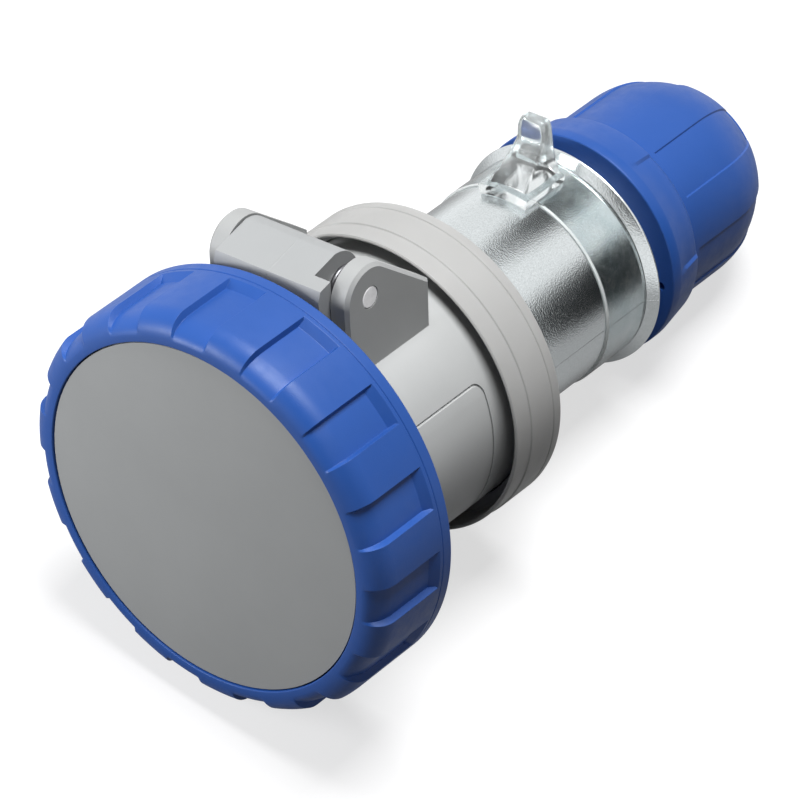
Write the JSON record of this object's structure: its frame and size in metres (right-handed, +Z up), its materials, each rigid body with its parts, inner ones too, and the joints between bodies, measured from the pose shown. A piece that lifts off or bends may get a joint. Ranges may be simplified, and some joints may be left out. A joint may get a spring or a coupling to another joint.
{
  "type": "industrial power connector",
  "caption": "Straight industrial power connector with a sprung hinged lid, a turning bayonet ring, a collar, a silver handle and a domed cable gland.",
  "frame": {"origin": "middle of the bounding box at the table the connector lies on", "axes": "+Y from the lid towards the cable gland along the table, +Z up, +X to the right as seen from the lid"},
  "size_m": [0.086, 0.1654, 0.0876],
  "materials": {
    "grey_plastic": "fine satin moulding",
    "blue_plastic": "fine satin moulding",
    "light_grey_plastic": "satin moulding",
    "pale_plastic": "slightly translucent moulding",
    "dark_plastic": "matt moulding",
    "silver": "satin, finely mottled",
    "clear_plastic": "clear, polished",
    "pin_steel": "satin",
    "spring_steel": "oiled dark wire",
    "screw_steel": "zinc plated",
    "contact_brass": "turned",
    "black_rubber": "matt"
  },
  "bodies": {
    "housing": {"front_housing": "light_grey_plastic", "contact_carrier": "dark_plastic", "phase_contacts": "contact_brass", "earth_contact": "contact_brass", "terminal_screws": "screw_steel", "contact_plate": "dark_plastic", "plate_screws": "screw_steel", "housing_seal": "black_rubber", "coupling_collar": "pale_plastic", "handle": "silver", "clamp_claws": "dark_plastic", "gland_grommet": "black_rubber", "hinge_pin": "pin_steel", "torsion_spring": "spring_steel"},
    "cover": {"lid": "grey_plastic", "lid_gasket": "black_rubber", "ring_retainer": "spring_steel"},
    "ring": {"bayonet_ring": "blue_plastic"},
    "lock": {"lock_ring": "clear_plastic"},
    "thrust": {"slip_washer": "screw_steel"},
    "nut": {"gland_nut": "blue_plastic"}
  },
  "joints": [
    {"name": "lid_hinge", "type": "hinge", "parent": "housing", "child": "cover", "pos_m": [-0.008, -0.0377, 0.07749], "axis": [-0.9781, -0.0358, -0.2048], "range_deg": [0, 120], "stiffness_Nm_per_rad": 0.03, "springref_deg": -143.24, "deforming": ["torsion_spring"]},
    {"name": "ring_turn", "type": "hinge", "parent": "cover", "child": "ring", "pos_m": [0, -0.06586, 0.04418], "axis": [0, -0.985, 0.1723], "range_deg": [0, 32]},
    {"name": "lock_turn", "type": "hinge", "parent": "housing", "child": "lock", "pos_m": [0, 0.02476, 0.02833], "axis": [0, -0.985, 0.1723], "range_deg": [0, 30]},
    {"name": "nut_slide", "type": "slide", "parent": "housing", "child": "thrust", "axis": [0, -0.985, 0.1723], "range_m": [-0.003, 0.003]},
    {"name": "nut_turn", "type": "hinge", "parent": "thrust", "child": "nut", "pos_m": [0, 0.05234, 0.02351], "axis": [0, -0.985, 0.1723], "range_deg": [-360, 360]}
  ],
  "couplings": [
    {"joint": "nut_turn", "follows": "nut_slide", "rad_per_m": 2094.4}
  ]
}
